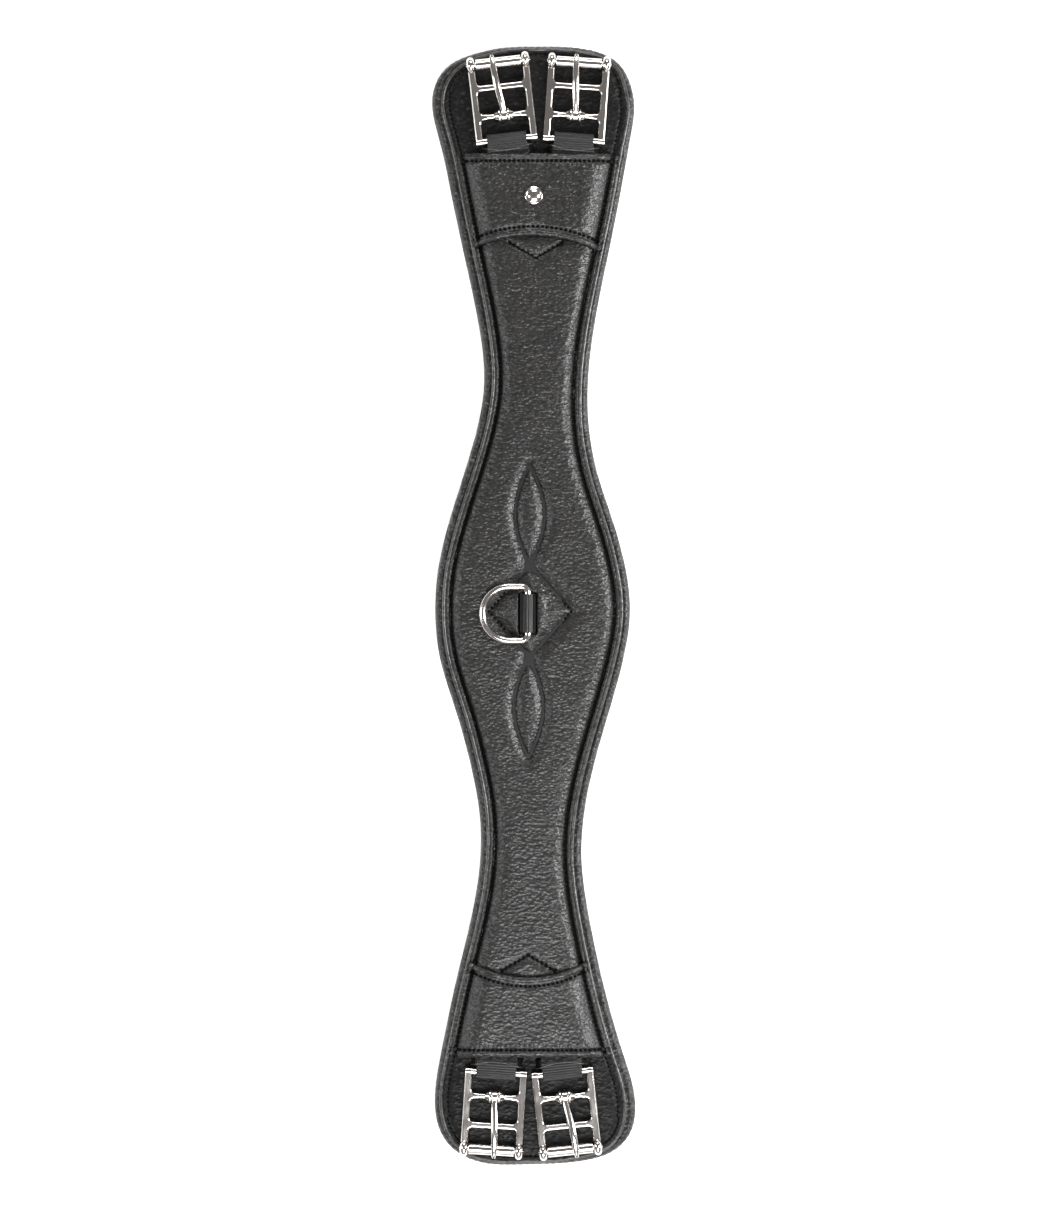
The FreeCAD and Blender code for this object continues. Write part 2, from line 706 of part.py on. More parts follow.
def make_tongue(name, placement, lean):
    """A bent prong with an eye on the tongue bar. Past the collars it curves sideways, its tip by lean degrees."""
    pivot = dim("tongue_bar_at")
    tip = TONGUE[-1][0]
    sway = (tip - pivot) * math.tan(math.radians(lean))
    straight_to = dim("prong_straight_to")
    shares = [max(0.0, y - straight_to) / (tip - straight_to) for y, _, _, _ in TONGUE]
    middle = [V(-sway * math.sin(share * math.pi / 2), y, z) for share, (y, z, _, _) in zip(shares, TONGUE)]
    sections = []
    for i, (_, _, width, thickness) in enumerate(TONGUE):
        along = middle[min(i + 1, len(middle) - 1)] - middle[max(i - 1, 0)]
        across = V(1, 0, 0)
        upward = across.cross(along).normalize()
        oval = Part.Ellipse(middle[i] + across * (width / 2), middle[i] + upward * (thickness / 2), middle[i])
        sections.append(Part.Wire(oval.toShape()))
    prong = Part.makeLoft(sections, True)
    half = dim("eye_width") / 2
    start = V(-half, pivot, 0)
    bore_radius = dim("tongue_bar_radius") + dim("running_gap")
    bore = Part.makeCylinder(bore_radius, 4 * half, V(-2 * half, pivot, 0), V(1, 0, 0))
    eye = Part.makeCylinder(dim("eye_radius"), 2 * half, start, V(1, 0, 0))
    eye = eye.makeFillet(0.9, [e for e in eye.Edges if e.BoundBox.XLength < 1e-3])
    tongue = doc.addObject("Part::Feature", f"{name}_tongue")
    tongue.Shape = eye.fuse(prong).cut(bore)
    tongue.Placement = placement
    finish(tongue, f"{name}_tongue")


def make_elastic(name, placement):
    """A folded elastic strap: a loop round the base bar, then both plies sewn flat together."""
    body = new_body(f"{name}_elastic")
    inner = "Dimensions.base_bar_radius + Dimensions.loop_gap"
    outer = f"({inner} + Dimensions.elastic_ply)"
    ply = "Dimensions.elastic_ply"
    loop = new_sketch(body, "YZ_Plane")
    add_circle(loop, "0", "0", outer)
    pad(body, loop, "Dimensions.elastic_width")
    strap = new_sketch(body, "YZ_Plane")
    tail = "-Dimensions.elastic_length"
    add_polygon(
        strap,
        [
            (tail, f"-{ply}"),
            ("-8.4", f"-{ply}"),
            ("-1.4", f"-{outer} * 0.93"),
            ("-1.4", f"{outer} * 0.93"),
            ("-8.4", ply),
            (tail, ply),
        ],
    )
    pad(body, strap, "Dimensions.elastic_width")
    bore = new_sketch(body, "YZ_Plane")
    add_circle(bore, "0", "0", inner)
    cut_through(body, bore, "Dimensions.elastic_width * 2")
    body.Placement = placement
    finish(body, f"{name}_elastic")


for buckle_name, bar_x, bar_y, buckle_turn, tongue_lean in BUCKLES:
    place = buckle_placement(bar_x, bar_y, buckle_turn)
    make_frame(buckle_name, place)
    make_roller(buckle_name, place)
    make_roller_pin(buckle_name, place)
    make_tongue(buckle_name, place, tongue_lean)
    make_elastic(buckle_name, place)


# ---------------------------------------------------------------- checks and files
doc.recompute()
for obj in doc.Objects:
    if "Invalid" in obj.State or "Error" in obj.State:
        raise RuntimeError(f"{obj.Name} failed: {obj.State}")
os.makedirs("parts", exist_ok=True)
for obj in sub_parts:
    shape = obj.Shape
    if shape.isNull() or not shape.isValid() or not shape.Solids:
        raise RuntimeError(f"{obj.Label} has no valid solid")
    shape.exportStep(f"parts/{obj.Label}.step")
    box = shape.BoundBox
    print(
        f"{obj.Label}: {len(shape.Solids)} solid, {shape.Volume:.0f} mm3,"
        f" x {box.XMin:.2f} {box.XMax:.2f}, y {box.YMin:.2f} {box.YMax:.2f}, z {box.ZMin:.2f} {box.ZMax:.2f}"
    )
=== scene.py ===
"""Looks of the saddle girth: padded leather, piping, stitching, ribbed elastic and polished buckles."""
import json
import math

import bpy
import numpy as np
from mathutils import Matrix, Vector, kdtree


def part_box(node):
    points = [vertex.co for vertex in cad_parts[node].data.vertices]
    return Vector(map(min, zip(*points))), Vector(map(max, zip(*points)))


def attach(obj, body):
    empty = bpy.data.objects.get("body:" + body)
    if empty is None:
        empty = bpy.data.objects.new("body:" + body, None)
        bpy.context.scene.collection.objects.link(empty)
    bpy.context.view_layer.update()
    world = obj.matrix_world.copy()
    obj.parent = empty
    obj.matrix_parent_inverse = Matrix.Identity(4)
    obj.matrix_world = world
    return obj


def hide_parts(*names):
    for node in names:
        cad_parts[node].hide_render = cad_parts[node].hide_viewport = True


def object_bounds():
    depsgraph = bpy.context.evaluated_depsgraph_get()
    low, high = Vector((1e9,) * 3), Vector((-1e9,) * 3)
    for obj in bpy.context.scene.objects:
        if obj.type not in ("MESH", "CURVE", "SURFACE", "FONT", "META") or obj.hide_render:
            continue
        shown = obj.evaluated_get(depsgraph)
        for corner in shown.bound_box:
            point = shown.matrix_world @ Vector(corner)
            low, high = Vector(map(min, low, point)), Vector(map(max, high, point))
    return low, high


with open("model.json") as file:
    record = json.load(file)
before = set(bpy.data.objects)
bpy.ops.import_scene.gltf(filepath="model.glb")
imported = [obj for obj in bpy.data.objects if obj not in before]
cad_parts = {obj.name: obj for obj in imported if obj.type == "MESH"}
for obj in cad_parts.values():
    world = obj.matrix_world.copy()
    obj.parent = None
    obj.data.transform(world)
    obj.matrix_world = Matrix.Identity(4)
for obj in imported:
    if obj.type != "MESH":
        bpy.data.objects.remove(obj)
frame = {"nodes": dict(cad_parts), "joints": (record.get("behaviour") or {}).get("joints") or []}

CAD_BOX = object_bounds()
MM = 0.001
ROOT = "girth_body"
BUCKLES = ("upper_left", "upper_right", "lower_left", "lower_right")
ENDS = {"upper": 1, "lower": -1}

# Sewing, measured in from the outer edge of the piping
STITCH_PITCH = 2.7 * MM
SEAM_DEPTH = 5.3 * MM
GUARD_SEAM_DEPTH = 3.9 * MM
MOUTH_SEAM = 4.6 * MM
ARC_SEAM = 3.7 * MM
PIPING_RADIUS = 1.1 * MM
PIPING_SHADOW = 1.9 * MM
GRID_STEP = 0.8 * MM
SPINE_END = 0.285  # where the rings' straight middle ends and their fans begin
# Painted shade: a per-point attribute that darkens the colour in seams, grooves, stitch holes and under
# edges
PAINTED_SHADE_ATTRIBUTE = "painted_shade"
SHADE_FROM = 0.55  # painted shade from which a face takes the darker shade material


# ---------------------------------------------------------------- outlines read from the frame
def loops_at(node, height):
    """Closed outlines of a CAD node cut at a height, longest first."""
    mesh = frame["nodes"][node].data
    place = [tuple(round(c, 7) for c in v.co) for v in mesh.vertices]
    links = {}
    for polygon in mesh.polygons:
        crossed = []
        for a, b in polygon.edge_keys:
            low, high = sorted((place[a], place[b]), key=lambda p: (p[2], p))
            if low[2] <= height < high[2]:
                share = (height - low[2]) / (high[2] - low[2])
                crossed.append(tuple(round(l + (h - l) * share, 8) for l, h in zip(low[:2], high[:2])))
        if len(crossed) == 2 and crossed[0] != crossed[1]:
            links.setdefault(crossed[0], []).append(crossed[1])
            links.setdefault(crossed[1], []).append(crossed[0])
    loops = []
    while links:
        here = next(iter(links))
        loop = []
        while here in links:
            loop.append(here)
            following = [p for p in links.pop(here) if p in links]
            here = following[0] if following else None
        loops.append(np.array(loop))
    return sorted(loops, key=lambda loop: -np.linalg.norm(np.diff(loop, axis=0), axis=1).sum())


def evenly(points, step, closed):
    """Points spaced evenly along a line."""
    line = np.vstack([points, points[:1]]) if closed else np.asarray(points)
    length = np.concatenate([[0], np.cumsum(np.linalg.norm(np.diff(line, axis=0), axis=1))])
    count = max(2, int(round(length[-1] / step)))
    at = np.linspace(0, length[-1], count, endpoint=not closed)
    return np.column_stack([np.interp(at, length, line[:, axis]) for axis in range(line.shape[1])])


def smooth_loop(points, step=1.0 * MM, width=4):
    """A closed outline without the facets of its mesh, counter-clockwise, spaced evenly."""
    ring = evenly(points, step, True)
    area = np.sum(ring[:, 0] * np.roll(ring[:, 1], -1) - np.roll(ring[:, 0], -1) * ring[:, 1])
    if area < 0:
        ring = ring[::-1]
    for _ in range(width):
        ring = (np.roll(ring, 1, axis=0) + 2 * ring + np.roll(ring, -1, axis=0)) / 4
    return ring


def inward(loop):
    """Unit normals that point into a counter-clockwise loop."""
    along = np.roll(loop, -1, axis=0) - np.roll(loop, 1, axis=0)
    along /= np.linalg.norm(along, axis=1)[:, None]
    return np.column_stack([-along[:, 1], along[:, 0]])


def inset(loop, depth):
    return loop + inward(loop) * depth


class Edge:
    """Distances to a closed outline, and places along it."""

    def __init__(self, loop):
        self.loop = evenly(loop, 0.8 * MM, True)
        self.step = np.linalg.norm(self.loop[1] - self.loop[0])
        self.tree = kdtree.KDTree(len(self.loop))
        for i, (x, y) in enumerate(self.loop):
            self.tree.insert((x, y, 0), i)
        self.tree.balance()

    def depth_and_run(self, x, y):
        """Each point's distance to the outline, and how far round it the nearest place is."""
        found = [self.tree.find((px, py, 0))[1:] for px, py in zip(np.ravel(x), np.ravel(y))]
        index, depth = np.array(found).T
        return depth.reshape(np.shape(x)), (index * self.step).reshape(np.shape(x))


def sides(loop):
    """Left and right X of a closed loop as functions of Y."""
    low, high = int(np.argmin(loop[:, 1])), int(np.argmax(loop[:, 1]))
    ring = np.roll(loop, -low, axis=0)
    cut = (high - low) % len(loop)
    right, left = ring[:cut + 1], ring[cut:][::-1]

    def left_x(y):
        return np.interp(y, left[:, 1], left[:, 0])

    def right_x(y):
        return np.interp(y, right[:, 1], right[:, 0])

    return left_x, right_x


def top_of(node):
    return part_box(node)[1][2]


LINING_TOP = top_of("lining_leather")
LINING = smooth_loop(loops_at("lining_leather", LINING_TOP / 2)[0])
PIPED = smooth_loop(loops_at("edge_welt", LINING_TOP + 0.6 * MM)[0])
PIPED_EDGE = Edge(PIPED)
MARGIN_TOP = LINING_TOP + 1.5 * MM
FACE_TOP = top_of("face_leather")
COVER_TOP = top_of("upper_cover_bead") - 0.3 * MM
FACE_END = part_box("face_leather")[1][1]


# ---------------------------------------------------------------- numbers over a surface
def noise(x, y, size, seed):
    """Smooth values from -1 to 1 that vary over about size metres."""
    lattice = np.random.default_rng(seed).uniform(-1, 1, (128, 128))
    u, v = np.asarray(x) / size, np.asarray(y) / size
    column, row = np.floor(u).astype(int), np.floor(v).astype(int)
    fu, fv = u - column, v - row
    fu, fv = fu * fu * (3 - 2 * fu), fv * fv * (3 - 2 * fv)

    def value(i, j):
        return lattice[(column + i) % 128, (row + j) % 128]

    near = value(0, 0) * (1 - fu) + value(1, 0) * fu
    far = value(0, 1) * (1 - fu) + value(1, 1) * fu
    return near * (1 - fv) + far * fv


def ramp(value, low, high):
    """0 below low, 1 above high, and a smooth S between."""
    share = np.clip((value - low) / (high - low), 0, 1)
    return share * share * (3 - 2 * share)


def swell(value, low, high):
    """0 below low, 1 above high: steep at first, then level, as padding rises from a seam."""
    share = np.clip((value - low) / (high - low), 0, 1)
    return 1 - (1 - share) ** 2.4


def dent(distance, width):
    return np.exp(-((distance / width) ** 2))


def wrinkled(x, y, seed):
    """Fine creases, wider across the girth than along it."""
    wave = noise(np.asarray(x) * 0.5, y, 1.9 * MM, seed)
    return wave + 0.8 * noise(np.asarray(x) * 0.7, y, 3.1 * MM, seed + 100)


def distance_to_line(x, y, line):
    """Distance of each point to the nearest of a line's points."""
    tree = kdtree.KDTree(len(line))
    for i, (px, py) in enumerate(line):
        tree.insert((px, py, 0), i)
    tree.balance()
    found = [tree.find((px, py, 0))[2] for px, py in zip(np.ravel(x), np.ravel(y))]
    return np.array(found).reshape(np.shape(x))


# ---------------------------------------------------------------- meshes
def new_piece(name, points, faces, material, body=ROOT, painted_shade=None, shade_material=None):
    """A mesh piece that rides on a body. Faces where the painted shade is high take the darker shade
    material, more painted shade.
    """
    mesh = bpy.data.meshes.new(name)
    mesh.from_pydata([tuple(p) for p in points], [], faces)
    mesh.materials.append(material)
    mesh.polygons.foreach_set("use_smooth", [True] * len(mesh.polygons))
    if painted_shade is not None:
        mesh.attributes.new(PAINTED_SHADE_ATTRIBUTE, "FLOAT", "POINT").data.foreach_set("value", np.clip(painted_shade, 0, 1))
    if shade_material is not None:
        mesh.materials.append(shade_material)
        in_seam = [int(np.mean(painted_shade[list(face)]) > SHADE_FROM) for face in faces]
        mesh.polygons.foreach_set("material_index", in_seam)
    piece = bpy.data.objects.new(name, mesh)
    bpy.context.scene.collection.objects.link(piece)
    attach(piece, body)
    return piece


def tidy_faces(points, faces):
    """Drops the points that no face uses."""
    used = sorted({i for face in faces for i in face})
    place = {old: new for new, old in enumerate(used)}
    return [points[i] for i in used], [tuple(place[i] for i in face) for face in faces]


class Rings:
    """Nested rings from an outline in to a spine along the middle, with a fan round each end."""

    def __init__(self, loop, near_depths, far_count, end_at):
        left_x, right_x = sides(loop)
        rows = np.linspace(-end_at, end_at, int(2 * end_at / GRID_STEP))
        right = np.column_stack([right_x(rows), rows])
        left = np.column_stack([left_x(rows), rows])
        middle = (left + right) / 2
        upper = self.fan(loop, right[-1], left[-1], 1)
        lower = self.fan(loop, left[0], right[0], -1)
        self.edge = np.vstack([right, upper, left[::-1], lower])
        last = len(rows) - 1
        backwards = list(range(last, -1, -1))
        self.spine = middle
        self.target = np.array(list(range(last + 1)) + [last] * len(upper) + backwards + [0] * len(lower))
        reach = middle[self.target] - self.edge
        length = np.linalg.norm(reach, axis=1)
        shares = [np.minimum(depth / length, 0.9) for depth in near_depths]
        start = shares[-1]
        for k in range(1, far_count):
            shares.append(start + (1 - start) * k / far_count)
        self.depth_rows = len(shares)
        self.flat = np.array([self.edge + reach * share[:, None] for share in shares])

    @staticmethod
    def fan(loop, start, stop, sign):
        """Points of the loop past one end, from start round to stop."""
        beyond = loop[loop[:, 1] * sign > abs(start[1]) + 0.3 * MM]
        centre = np.array([(start[0] + stop[0]) / 2, start[1]])
        angle = np.arctan2((beyond[:, 1] - centre[1]) * sign, (beyond[:, 0] - centre[0]) * sign)
        order = np.argsort(angle)
        return evenly(np.vstack([start, beyond[order], stop]), 1.0 * MM, False)[1:-1]

    def points(self):
        """X and Y of every point: the rings from the outside in, then the spine."""
        rings = self.flat.reshape(-1, 2)
        return np.vstack([rings, self.spine])

    def faces(self):
        count = len(self.edge)
        faces = []
        for k in range(self.depth_rows - 1):
            for i in range(count):
                j = (i + 1) % count
                faces.append((k * count + i, k * count + j, (k + 1) * count + j, (k + 1) * count + i))
        base = self.depth_rows * count
        ring = (self.depth_rows - 1) * count
        for i in range(count):
            j = (i + 1) % count
            a, b = base + int(self.target[i]), base + int(self.target[j])
            faces.append((ring + i, ring + j, b) if a == b else (ring + i, ring + j, b, a))
        return faces


def tube(path, radius, around=10):
    """Points and faces of a closed round tube along 3-D points. radius is one number, or one each."""
    path = np.asarray(path)
    radii = np.broadcast_to(radius, len(path))
    along = np.gradient(path, axis=0)
    along /= np.linalg.norm(along, axis=1)[:, None]
    across = np.cross(along, [0, 0, 1])
    across /= np.linalg.norm(across, axis=1)[:, None]
    up = np.cross(across, along)
    points, faces = [], []
    for i, centre in enumerate(path):
        for k in range(around):
            turn = 2 * math.pi * k / around
            points.append(centre + (across[i] * math.cos(turn) + up[i] * math.sin(turn)) * radii[i])
    for i in range(len(path) - 1):
        for k in range(around):
            n = (k + 1) % around
            faces.append((i * around + k, (i + 1) * around + k, (i + 1) * around + n, i * around + n))
    last = (len(path) - 1) * around
    faces.append(tuple(range(around)))
    faces.append(tuple(range(last, last + around))[::-1])
    return points, faces


def joined(shapes):
    """Several (points, faces) as one."""
    points, faces = [], []
    for some_points, some_faces in shapes:
        start = len(points)
        points += list(some_points)
        faces += [tuple(start + i for i in face) for face in some_faces]
    return points, faces


# ---------------------------------------------------------------- materials
class Nodes:
    """Short calls that build a procedural material."""

    def __init__(self, name):
        self.material = bpy.data.materials.new(name)
        self.material.use_nodes = True
        self.tree = self.material.node_tree
        self.shader = self.tree.nodes["Principled BSDF"]
        self.place = self.tree.nodes.new("ShaderNodeTexCoord").outputs["Object"]

    def node(self, kind, **settings):
        made = self.tree.nodes.new(kind)
        for key, value in settings.items():
            if key in made.inputs:
                made.inputs[key].default_value = value
            else:
                setattr(made, key, value)
        return made

    def link(self, source, target):
        self.tree.links.new(source, target)

    def stretched(self, scale):
        mapping = self.node("ShaderNodeMapping")
        mapping.inputs["Scale"].default_value = scale
        self.link(self.place, mapping.inputs["Vector"])
        return mapping.outputs["Vector"]

    def noise(self, scale, detail=3.0, roughness=0.55, distortion=0.0):
        made = self.node("ShaderNodeTexNoise")
        made.inputs["Scale"].default_value = 1.0
        made.inputs["Detail"].default_value = detail
        made.inputs["Roughness"].default_value = roughness
        made.inputs["Distortion"].default_value = distortion
        self.link(self.stretched(scale), made.inputs["Vector"])
        return made.outputs["Fac"]

    def cells(self, scale, feature="DISTANCE_TO_EDGE"):
        made = self.node("ShaderNodeTexVoronoi", feature=feature)
        made.inputs["Scale"].default_value = 1.0
        self.link(self.stretched(scale), made.inputs["Vector"])
        return made.outputs["Distance"]

    def ranged(self, source, low, high, to_low, to_high):
        made = self.node("ShaderNodeMapRange", clamp=True)
        for key, value in (("From Min", low), ("From Max", high), ("To Min", to_low), ("To Max", to_high)):
            made.inputs[key].default_value = value
        self.link(source, made.inputs["Value"])
        return made.outputs["Result"]

    def maths(self, first, second, operation="ADD"):
        """One sum or product of two sockets, or of a socket and a number."""
        made = self.node("ShaderNodeMath", operation=operation)
        self.link(first, made.inputs[0])
        if isinstance(second, (int, float)):
            made.inputs[1].default_value = second
        else:
            self.link(second, made.inputs[1])
        return made.outputs[0]

    def painted_shade(self):
        """The piece's painted shade at each point: 1 at the bottom of its seams and grooves, 0 elsewhere.
        """
        made = self.node("ShaderNodeAttribute", attribute_name=PAINTED_SHADE_ATTRIBUTE)
        return made.outputs["Fac"]

    def colour(self, factor, dark, light):
        made = self.node("ShaderNodeMix", data_type="RGBA")
        made.inputs[6].default_value = (*dark, 1)
        made.inputs[7].default_value = (*light, 1)
        self.link(factor, made.inputs[0])
        self.link(made.outputs[2], self.shader.inputs["Base Color"])

    def bump(self, height, distance, strength=1.0):
        made = self.node("ShaderNodeBump")
        made.inputs["Strength"].default_value = strength
        made.inputs["Distance"].default_value = distance
        self.link(height, made.inputs["Height"])
        self.link(made.outputs["Normal"], self.shader.inputs["Normal"])

    def set(self, **values):
        for key, value in values.items():
            self.shader.inputs[key.replace("_", " ")].default_value = value


def leather(name, tone, grain, relief, gloss, sheen=0.5):
    """Black leather: rounded pebbles about grain metres across, with painted shade: lighter on the pebbles'
    tops, dark in the creases, and darker where the piece's painted seam shade lies; the tone also varies at
    random in patches.
    """
    made = Nodes(name)
    pebbles = made.cells((0.75 / grain, 1.1 / grain, 1 / grain), "SMOOTH_F1")
    wrinkles = made.noise((0.45 / grain, 0.9 / grain, 1 / grain), detail=2.0, distortion=0.5)
    height = made.maths(made.maths(pebbles, -1.0, "MULTIPLY"), made.maths(wrinkles, 1.0, "MULTIPLY"))
    made.bump(height, relief, 1.0)
    # Painted shade on the grain: the colour is lighter on the pebbles' tops and dark in the creases between
    # them
    tops = made.ranged(height, -0.25, 0.35, 0.0, 1.0)
    patches = made.ranged(made.noise((60, 60, 60), detail=3), 0.3, 0.7, 0.8, 1.2)
    # lit is 1 less the piece's painted shade; with the pebbles' painted shade and the random patches of
    # tone it picks the colour and the roughness
    lit = made.maths(made.maths(made.painted_shade(), -1.0, "MULTIPLY"), 1.0)
    painted_shade_and_tone = made.maths(made.maths(tops, patches, "MULTIPLY"), lit, "MULTIPLY")
    made.colour(painted_shade_and_tone, tuple(c * 0.1 for c in tone), tuple(c * 1.9 for c in tone))
    made.link(made.maths(made.maths(painted_shade_and_tone, -0.2, "MULTIPLY"), gloss + 0.16), made.shader.inputs["Roughness"])
    made.set(Specular_IOR_Level=sheen)
    return made.material


def polished_metal(name, tone, roughness):
    """Polished nickel-plated metal with faint polishing marks and handling smears."""
    made = Nodes(name)
    marks = made.noise((900, 150, 900), detail=3)
    smears = made.noise((60, 60, 60), detail=3)
    made.colour(smears, tuple(c * 0.93 for c in tone), tone)
    polish = made.ranged(made.maths(marks, smears), 0.6, 1.5, roughness * 0.6, roughness * 1.5)
    made.link(polish, made.shader.inputs["Roughness"])
    made.bump(marks, 0.01 * MM, 0.06)
    made.set(Metallic=1.0)
    return made.material


def woven(name, tone, rib, rough, sheen):
    """Woven webbing: small diagonal threads, with painted shade that turns them black in the piece's shaded
    grooves.
    """
    made = Nodes(name)
    waves = made.node("ShaderNodeTexWave", wave_type="BANDS", bands_direction="DIAGONAL")
    waves.inputs["Scale"].default_value = 1.0
    waves.inputs["Distortion"].default_value = 1.5
    made.link(made.stretched((1 / rib, 1 / rib, 1 / rib)), waves.inputs["Vector"])
    threads = waves.outputs["Fac"]
    fuzz = made.noise((2500, 2500, 2500), detail=2)
    made.bump(made.maths(threads, fuzz), 0.06 * MM, 0.4)
    # Painted shade: the threads' colour is darkened where the piece's painted shade is high
    lit = made.maths(made.maths(made.painted_shade(), -1.0, "MULTIPLY"), 1.0)
    shade = made.maths(threads, lit, "MULTIPLY")
    made.colour(shade, tuple(c * 0.1 for c in tone), tuple(c * 2.2 for c in tone))
    made.set(Roughness=rough, Specular_IOR_Level=sheen)
    return made.material


FACE_LEATHER = leather("face_leather_grain", (0.014, 0.0134, 0.0131), 1.6 * MM, 0.42 * MM, 0.29)
LINING_LEATHER = leather("lining_leather_grain", (0.014, 0.0134, 0.0131), 1.7 * MM, 0.5 * MM, 0.30)
# Guards and strap mouths: the much darker tone is partly the guard's own smoother, darker leather and
# partly painted shade for the buckles' shadow
GUARD_LEATHER = leather("guard_leather_grain", (0.004, 0.0039, 0.0038), 1.9 * MM, 0.5 * MM, 0.38, 0.2)
# Painted shade: a darker, duller copy of the leather for the faces in seam grooves, stitch holes and other
# shaded places
SHADED_SEAM_LEATHER = leather("seam_painted_shade_leather", (0.004, 0.0039, 0.0038), 1.8 * MM, 0.4 * MM, 0.5, 0.1)
# Painted highlight: a leather three times lighter than the face, so the piping and the mouth lips show a
# bright line
PIPING_HIGHLIGHT_LEATHER = leather("piping_painted_highlight_leather", (0.045, 0.0435, 0.0428), 1.5 * MM, 0.1 * MM, 0.22)
STEEL = polished_metal("polished_nickel", (0.78, 0.745, 0.72), 0.17)
THREAD = woven("thread", (0.002, 0.002, 0.002), 0.35 * MM, 0.7, 0.06)
ELASTIC = woven("elastic_weave", (0.010, 0.010, 0.0103), 0.5 * MM, 0.33, 0.5)
FOAM = leather("inner_foam", (0.3, 0.3, 0.28), 1.0 * MM, 0.1 * MM, 0.7)


# ---------------------------------------------------------------- lining
def make_lining():
    """A soft closed pad with a puffy roll round its rim and a flat underside."""
    outer = Edge(LINING)
    half = LINING_TOP / 2
    rim = [math.radians(a) for a in range(-90, 91, 15)]
    roll = 3.4 * MM
    depths = [roll * (1 - math.cos(a)) for a in rim[6:]] + [4.4 * MM, 5.4 * MM, 8 * MM]
    rings = Rings(LINING, depths, 14, SPINE_END)
    flat = rings.points()
    depth, run = outer.depth_and_run(flat[:, 0], flat[:, 1])
    share = np.clip(1 - depth / roll, 0, 1)
    lift = np.sqrt(1 - share ** 2)
    puff = noise(run, depth * 0, 7 * MM, 3) * 0.25 * MM + noise(run, depth, 2.4 * MM, 4) * 0.22 * MM
    crease = dent(depth - 4.8 * MM, 1.2 * MM) * 1.0 * MM
    top = half + half * lift * 1.05 + (puff - crease) * lift
    top = np.where(depth > 9 * MM, LINING_TOP - 0.4 * MM, top)
    bottom = half - half * lift
    count = len(flat)
    points = np.vstack([np.column_stack([flat, top]), np.column_stack([flat, bottom])])
    outline = len(rings.edge)
    upper = rings.faces()
    lower = [tuple(i + count for i in face)[::-1] for face in upper]
    # the two outermost rings are one and the same line
    same = {count + i: i for i in range(outline)}
    lower = [tuple(same.get(i, i) for i in face) for face in lower]
    points, faces = tidy_faces(points, upper + lower)
    lining = new_piece("lining", points, faces, LINING_LEATHER)
    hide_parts("lining_leather")


def make_piping():
    path = inset(PIPED, PIPING_RADIUS)
    path = np.vstack([path, path[:2]])
    height = np.full(len(path), LINING_TOP + 1.0 * MM)
    points, faces = tube(np.column_stack([path, height]), PIPING_RADIUS, 12)
    piping = new_piece("piping", points, faces[:-2], PIPING_HIGHLIGHT_LEATHER)
    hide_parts("edge_welt")


# ---------------------------------------------------------------- outlines sewn into the face
def leaf_lines(node):
    """The two arcs of a leaf, each from its lower tip to its upper tip."""
    low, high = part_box(node)
    middle, reach = (low[0] + high[0]) / 2, (high[0] - low[0]) / 2
    share = np.linspace(0, 1, 160)
    y = low[1] + (high[1] - low[1]) * share
    bow = reach * np.sin(math.pi * share) ** 0.9
    return [np.column_stack([middle + side * bow, y]) for side in (-1, 1)]


def diamond_lines():
    low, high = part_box("centre_diamond_inlay")
    x, y = (low[0] + high[0]) / 2, (low[1] + high[1]) / 2
    corners = [(x, high[1]), (low[0], y), (x, low[1]), (high[0], y), (x, high[1])]
    return [evenly(np.array(pair), 0.5 * MM, False) for pair in zip(corners, corners[1:])]


LEAVES = [line for node in ("upper_leaf_inlay", "lower_leaf_inlay") for line in leaf_lines(node)]
DIAMOND = diamond_lines()


def arc_of(end):
    """Y of a cover's rolled edge as a function of X, read from its CAD bead."""
    points = np.array([v.co[:2] for v in frame["nodes"][f"{end}_cover_bead"].data.vertices])
    curve = np.polyfit(points[:, 0], points[:, 1], 2)
    return lambda x: np.polyval(curve, x)


ARCS = {end: arc_of(end) for end in ENDS}
MOUTH = {"upper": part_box("upper_cover")[1][1], "lower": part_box("lower_cover")[0][1]}


def point_lines(end):
    """The two sides of the pointed inlay past a cover, from the cover's edge to the point."""
    low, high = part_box(f"{end}_point_inlay")
    tip = np.array([(low[0] + high[0]) / 2, low[1] if end == "upper" else high[1]])
    lines = []
    for side in (-1, 1):
        shoulder = np.array([tip[0] + side * 16 * MM, tip[1] + ENDS[end] * 9.5 * MM])
        lines.append(evenly(np.array([shoulder, tip]), 0.4 * MM, False))
    return lines


POINTS = {end: point_lines(end) for end in ENDS}


def zone_runs(loop, wanted):
    """The stretches of a closed loop where wanted(x, y) holds."""
    keep = wanted(loop[:, 0], loop[:, 1])
    start = int(np.argmin(keep))
    ring, keep = np.roll(loop, -start, axis=0), np.roll(keep, -start)
    runs, here = [], []
    for point, good in zip(ring, keep):
        if good:
            here.append(point)
        elif here:
            runs.append(np.array(here))
            here = []
    if here:
        runs.append(np.array(here))
    return [run for run in runs if len(run) > 4]


def is_covered(x, y):
    """Where a cover lies."""
    covered = np.zeros(np.shape(x), bool)
    for end, sign in ENDS.items():
        past_arc = (y - ARCS[end](x)) * sign > 0
        before_mouth = (MOUTH[end] - y) * sign > 0
        covered |= past_arc & before_mouth
    return covered


SEAM = inset(PIPED, SEAM_DEPTH)
FACE_SIDES = sides(PIPED)


